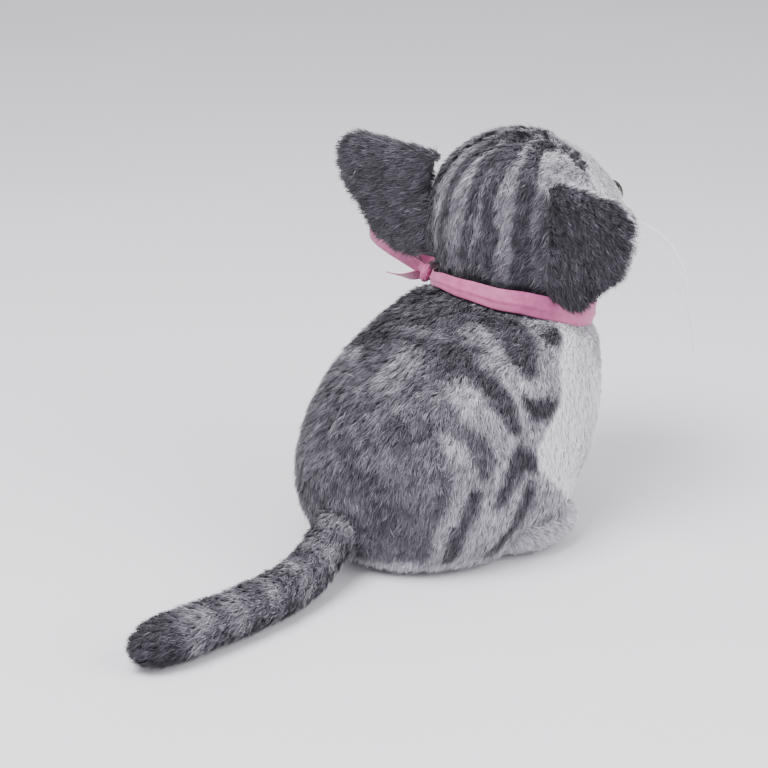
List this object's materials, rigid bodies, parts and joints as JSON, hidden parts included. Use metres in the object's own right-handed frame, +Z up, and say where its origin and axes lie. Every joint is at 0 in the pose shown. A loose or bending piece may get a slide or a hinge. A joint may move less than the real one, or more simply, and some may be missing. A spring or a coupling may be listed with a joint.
{
  "type": "plush cat",
  "caption": "Seated stuffed tabby cat with a white chest, wide side ears, a ribbon tied in a bow round its neck and a long soft tail.",
  "frame": {"origin": "on the floor, on the base panel, under the middle of the torso", "axes": "+Z up; the cat faces -Y with its tail along +Y; its left side is +X"},
  "size_m": [0.1446, 0.2738, 0.1493],
  "materials": {
    "tabby_fur": "short plush pile with printed tabby stripes",
    "white_fur": "short white plush pile",
    "ear_lining": "short pale pile",
    "stuffing": "polyester fibre",
    "pellet_cloth": "woven bag of pellets",
    "ribbon": "satin ribbon",
    "eye": "polished",
    "washer": "moulded",
    "nose": "satin stitch",
    "stitching": "embroidery thread",
    "whisker": "clear monofilament"
  },
  "bodies": {
    "torso": {"base_panel": "white_fur", "chest_panel": "white_fur", "back_panel_left": "tabby_fur", "back_panel_right": "tabby_fur", "torso_stuffing": "stuffing", "pellet_bag": "pellet_cloth", "hind_foot_left_cover": "tabby_fur", "hind_foot_left_stuffing": "stuffing", "hind_foot_right_cover": "tabby_fur", "hind_foot_right_stuffing": "stuffing", "foreleg_left_cover": "white_fur", "foreleg_left_stuffing": "stuffing", "foreleg_right_cover": "white_fur", "foreleg_right_stuffing": "stuffing"},
    "head": {"face_panel": "white_fur", "head_crown_gusset": "tabby_fur", "head_side_left": "tabby_fur", "head_side_right": "tabby_fur", "head_stuffing": "stuffing", "muzzle_cover": "white_fur", "muzzle_stuffing": "stuffing", "nose": "nose", "mouth_stitching": "stitching", "eye_left": "eye", "eye_right": "eye", "eye_washer_left": "washer", "eye_washer_right": "washer", "whisker_left_1": "whisker", "whisker_left_2": "whisker", "whisker_left_3": "whisker", "whisker_right_1": "whisker", "whisker_right_2": "whisker", "whisker_right_3": "whisker", "ribbon_neck_band": "ribbon", "bow_knot": "ribbon", "bow_loop_rear": "ribbon", "bow_loop_front": "ribbon", "ribbon_end_rear": "ribbon", "ribbon_end_front": "ribbon"},
    "ear_left": {"ear_left_back": "tabby_fur", "ear_left_lining": "ear_lining"},
    "ear_right": {"ear_right_back": "tabby_fur", "ear_right_lining": "ear_lining"},
    "tail_root": {"tail_root_stuffing": "stuffing"},
    "tail": {"tail_cover": "tabby_fur", "tail_stuffing": "stuffing"}
  },
  "joints": [
    {"name": "head_turn", "type": "hinge", "parent": "torso", "child": "head", "pos_m": [0, -0.033, 0.086], "axis": [0, -0.2756, 0.9613], "range_deg": [-20, 20], "stiffness_Nm_per_rad": 0.05},
    {"name": "ear_left_fold", "type": "hinge", "parent": "head", "child": "ear_left", "pos_m": [0.02405, -0.01647, 0.12031], "axis": [-0.3816, 0.0955, 0.9194], "range_deg": [-8, 10], "stiffness_Nm_per_rad": 0.004},
    {"name": "ear_right_fold", "type": "hinge", "parent": "head", "child": "ear_right", "pos_m": [-0.02823, -0.02382, 0.11569], "axis": [-0.1769, -0.174, -0.9687], "range_deg": [-8, 10], "stiffness_Nm_per_rad": 0.004},
    {"name": "tail_swing", "type": "hinge", "parent": "torso", "child": "tail_root", "pos_m": [-0.005, 0.0585, 0.018], "axis": [0, 0, 1], "range_deg": [-20, 20], "stiffness_Nm_per_rad": 0.006},
    {"name": "tail_lift", "type": "hinge", "parent": "tail_root", "child": "tail", "pos_m": [-0.005, 0.0585, 0.018], "axis": [1, 0, 0], "range_deg": [0, 22]}
  ]
}
